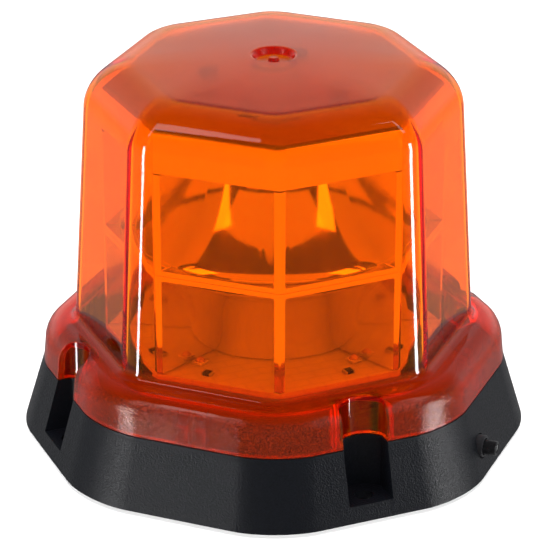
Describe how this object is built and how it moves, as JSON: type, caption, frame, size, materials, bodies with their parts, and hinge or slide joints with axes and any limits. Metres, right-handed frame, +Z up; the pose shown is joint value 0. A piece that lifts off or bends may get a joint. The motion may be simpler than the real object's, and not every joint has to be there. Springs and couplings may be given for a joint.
{
  "type": "amber led warning beacon",
  "caption": "Octagonal amber warning beacon: ribbed two-tier reflector under a clear dome, black base with screw recesses in the skirt and a small push button",
  "frame": {"origin": "centre of the underside of the rubber pad, on the beacon's axis", "axes": "+Z up along the beacon's axis, -Y and +X through the middles of two screw recesses, so the picture looks from 23 degrees left of -Y"},
  "size_m": [0.1478, 0.1478, 0.1196],
  "materials": {
    "black_rubber": "matte, fine grain",
    "black_abs": "fine sparked texture",
    "black_nylon": "satin",
    "amber_polycarbonate": "clear, glossy",
    "silicone": "matte",
    "fr4": "solder mask",
    "white_fr4": "white solder mask",
    "aluminium": "brushed",
    "brass": "turned",
    "zinc_steel": "zinc plated",
    "metallised": "vacuum metallised plastic",
    "phosphor": "silicone over phosphor",
    "ferrite": "sintered",
    "sleeve": "shrunk sleeve",
    "epoxy": "moulded",
    "green_nylon": "moulded"
  },
  "bodies": {
    "root": {"base_housing": "black_abs", "button_bush": "black_nylon", "button_switch": "black_nylon", "cable_gland": "black_rubber", "capacitor_1": "sleeve", "capacitor_2": "sleeve", "capacitor_3": "sleeve", "carrier_plate": "aluminium", "driver_board": "fr4", "driver_chip_1": "epoxy", "driver_chip_2": "epoxy", "inductor_1": "ferrite", "inductor_2": "ferrite", "lens_dome": "amber_polycarbonate", "lens_seal": "silicone", "link_board": "fr4", "link_socket": "black_nylon", "lower_header": "black_nylon", "lower_led_1": "phosphor", "lower_led_2": "phosphor", "lower_led_3": "phosphor", "lower_led_4": "phosphor", "lower_led_5": "phosphor", "lower_led_6": "phosphor", "lower_led_7": "phosphor", "lower_led_8": "phosphor", "lower_led_board": "white_fr4", "lower_reflector": "metallised", "mounting_pad": "black_rubber", "power_terminal": "green_nylon", "reflector_cap": "metallised", "standoff_1": "brass", "standoff_2": "brass", "standoff_3": "brass", "standoff_4": "brass", "tie_screw_1": "zinc_steel", "tie_screw_2": "zinc_steel", "tie_screw_3": "zinc_steel", "tie_screw_4": "zinc_steel", "upper_header": "black_nylon", "upper_led_1": "phosphor", "upper_led_2": "phosphor", "upper_led_3": "phosphor", "upper_led_4": "phosphor", "upper_led_5": "phosphor", "upper_led_6": "phosphor", "upper_led_7": "phosphor", "upper_led_8": "phosphor", "upper_led_board": "white_fr4", "upper_reflector": "metallised"},
    "button": {"mode_button": "black_nylon"}
  },
  "joints": [
    {"name": "button_press", "type": "slide", "parent": "root", "child": "button", "axis": [-0.7071, 0.7071, 0], "range_m": [0, 0.001], "stiffness_N_per_m": 1500}
  ]
}
